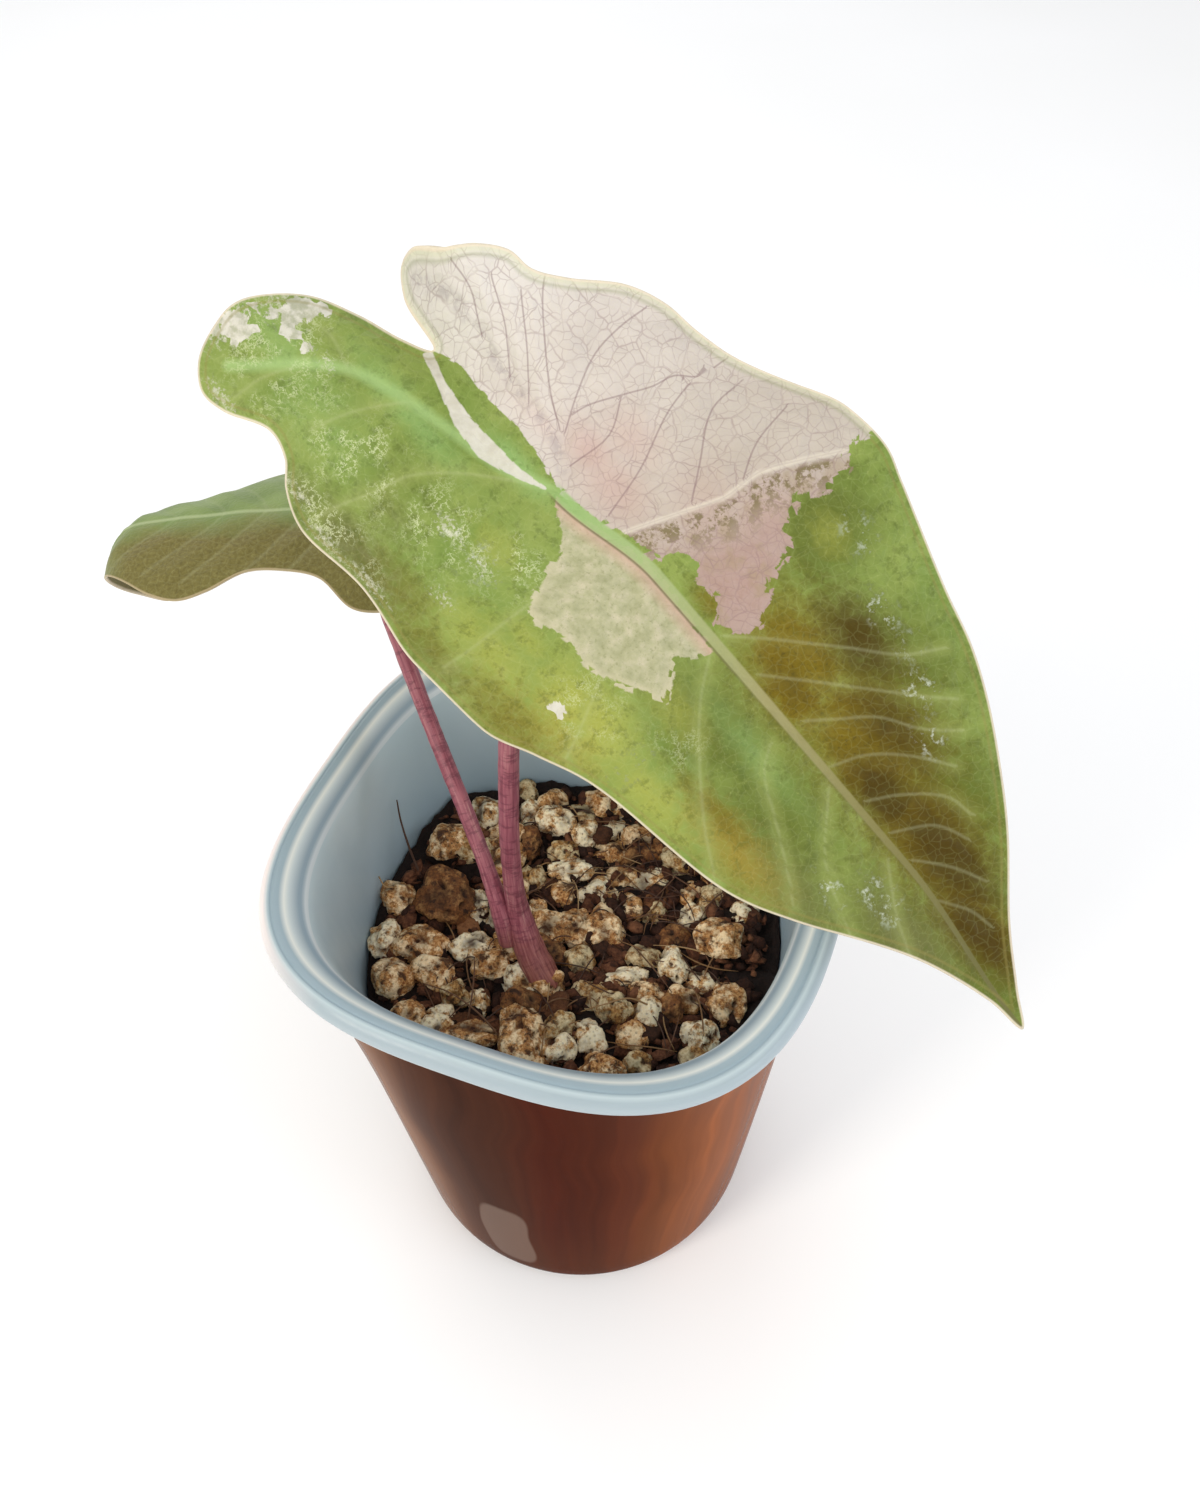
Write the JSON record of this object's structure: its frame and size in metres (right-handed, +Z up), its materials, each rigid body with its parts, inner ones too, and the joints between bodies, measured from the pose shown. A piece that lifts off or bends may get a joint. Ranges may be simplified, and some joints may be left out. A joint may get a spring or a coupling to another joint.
{
  "type": "potted variegated alocasia plant",
  "caption": "Young alocasia with arrow-shaped variegated leaves on mauve stems, in gritty mix in a rounded-square liner that hangs by its lip in a glossy brown pot.",
  "frame": {"origin": "centre of the outer pot's flat base", "axes": "+Z up out of the pot; the flats of the rounded-square mouth face +X, -X, +Y and -Y; the main leaf points towards +X"},
  "size_m": [0.1342, 0.0767, 0.1601],
  "materials": {
    "glossy_brown_pot": "glossy red-brown moulded plastic",
    "pale_blue_liner": "satin, slightly translucent blue-grey polypropylene",
    "dark_mix": "damp coco fibre and fine bark",
    "pumice": "rough cream and tan pumice with brown stains",
    "mauve_petiole": "smooth mauve stem with darker mottling",
    "variegated_leaf": "waxy green leaf with a cream and pink sector",
    "olive_leaf": "waxy dull green leaf with an olive-brown half"
  },
  "bodies": {
    "root": {"outer_pot": "glossy_brown_pot", "inner_pot": "pale_blue_liner", "main_leaf_blade": "variegated_leaf", "second_leaf_blade": "olive_leaf", "main_stem": "mauve_petiole", "second_stem": "mauve_petiole", "potting_mix": "dark_mix", "pumice_grit": "pumice"}
  },
  "joints": []
}
